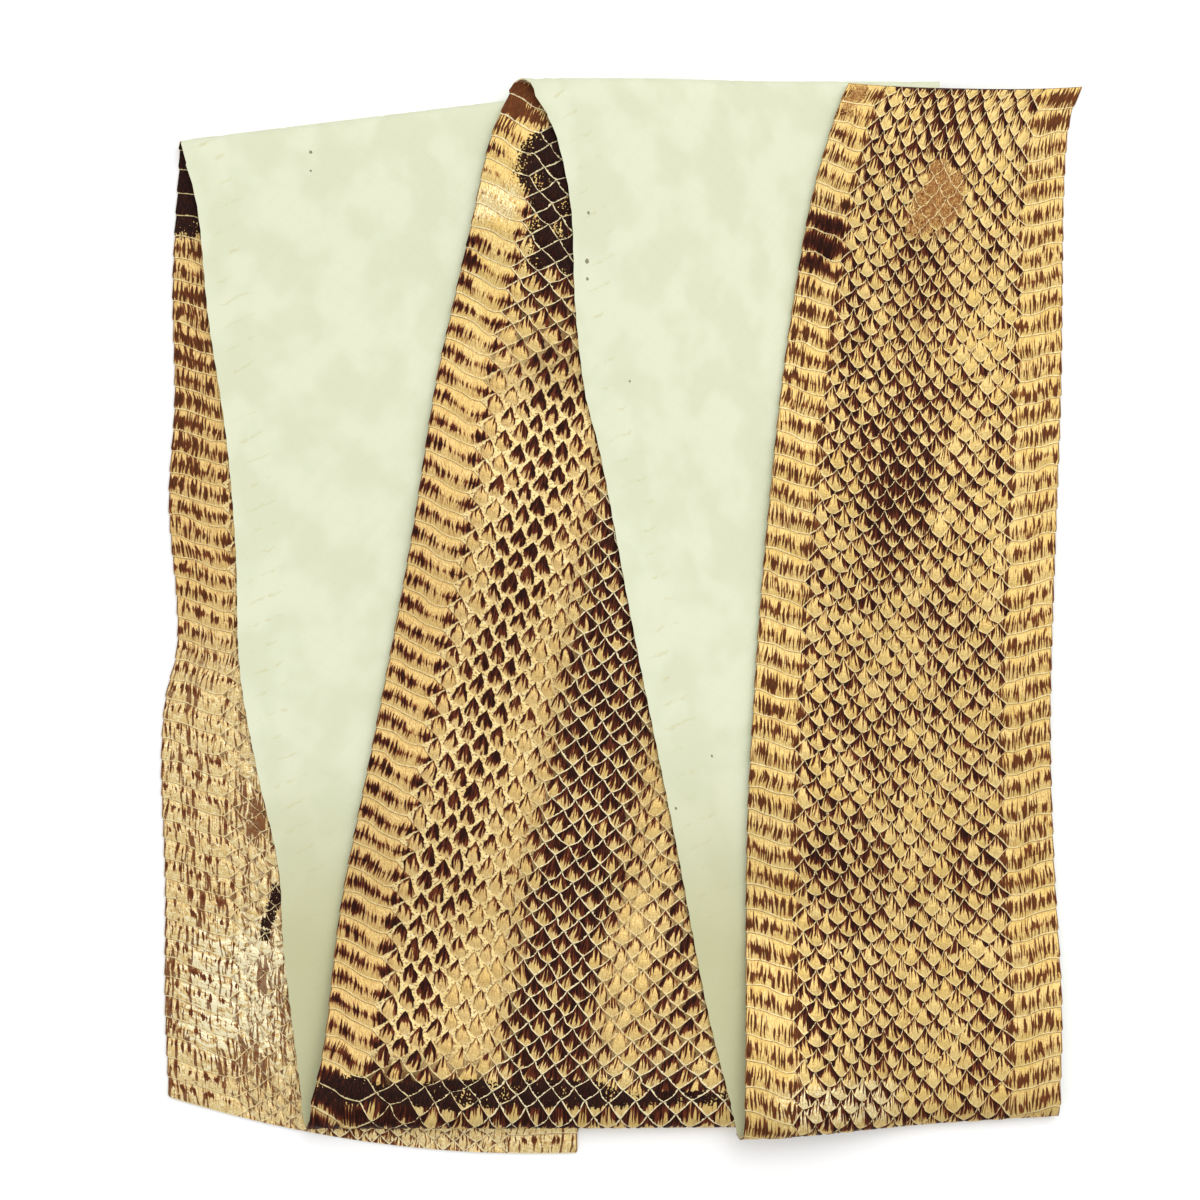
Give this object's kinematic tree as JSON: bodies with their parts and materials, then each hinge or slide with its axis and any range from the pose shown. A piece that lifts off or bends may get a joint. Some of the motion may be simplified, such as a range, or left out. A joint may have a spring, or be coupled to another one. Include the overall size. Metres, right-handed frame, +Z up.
{
  "type": "folded tanned snake skin",
  "caption": "Tanned snake skin cut open along the belly, with gold foil worn off its dark scales and a pale flesh side, folded zigzag into a flat pile.",
  "frame": {"origin": "middle of the underside of the folded pile, on the surface it lies on", "axes": "+Z up out of the pile, +Y along the layers towards the end where the skin's first cut end lies, +X towards the top layer's side"},
  "size_m": [0.2394, 0.2782, 0.0142],
  "materials": {
    "gilded_scales": "gold foil with a satin shine over dark maroon brown, thin cream lines along the free edges of the scales, pale greenish cream suede on the flesh side"
  },
  "bodies": {
    "root": {"snake_skin": "gilded_scales"}
  },
  "joints": []
}
